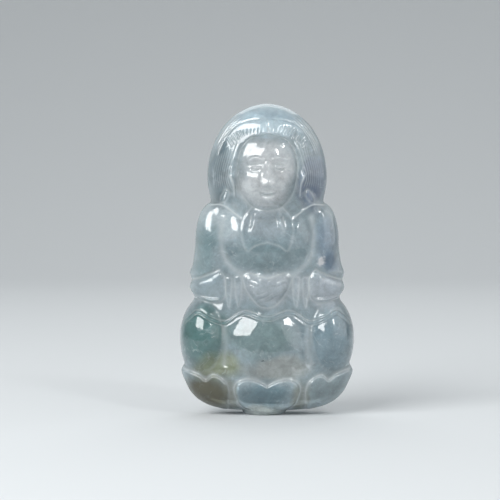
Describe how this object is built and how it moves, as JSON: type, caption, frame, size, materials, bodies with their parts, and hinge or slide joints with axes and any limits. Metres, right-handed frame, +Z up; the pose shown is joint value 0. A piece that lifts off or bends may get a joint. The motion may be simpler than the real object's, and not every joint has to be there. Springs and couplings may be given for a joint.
{
  "type": "jade figurine",
  "caption": "Small polished jade figurine of a seated robed figure on a lotus seat, carved in shallow relief with a plain domed back and a flat foot.",
  "frame": {"origin": "on the surface the figurine stands on, under the middle of its foot's width line", "axes": "+Z up from foot to crown, +X to the viewer's right, -Y towards the viewer"},
  "size_m": [0.0314, 0.0126, 0.056],
  "materials": {
    "jade": "polished translucent jadeite"
  },
  "bodies": {
    "root": {"stone_back": "jade", "foot": "jade", "lotus_pod": "jade", "petal_centre": "jade", "petal_left": "jade", "petal_right": "jade", "lap": "jade", "knee_left": "jade", "knee_right": "jade", "robe_hem": "jade", "robe": "jade", "sleeve_left": "jade", "sleeve_right": "jade", "sleeve_fall_left": "jade", "sleeve_fall_right": "jade", "cuff_left": "jade", "cuff_right": "jade", "hands": "jade", "belly": "jade", "chest_bib": "jade", "hair": "jade", "hair_roll": "jade", "ear_left": "jade", "ear_right": "jade", "face": "jade"}
  },
  "joints": []
}
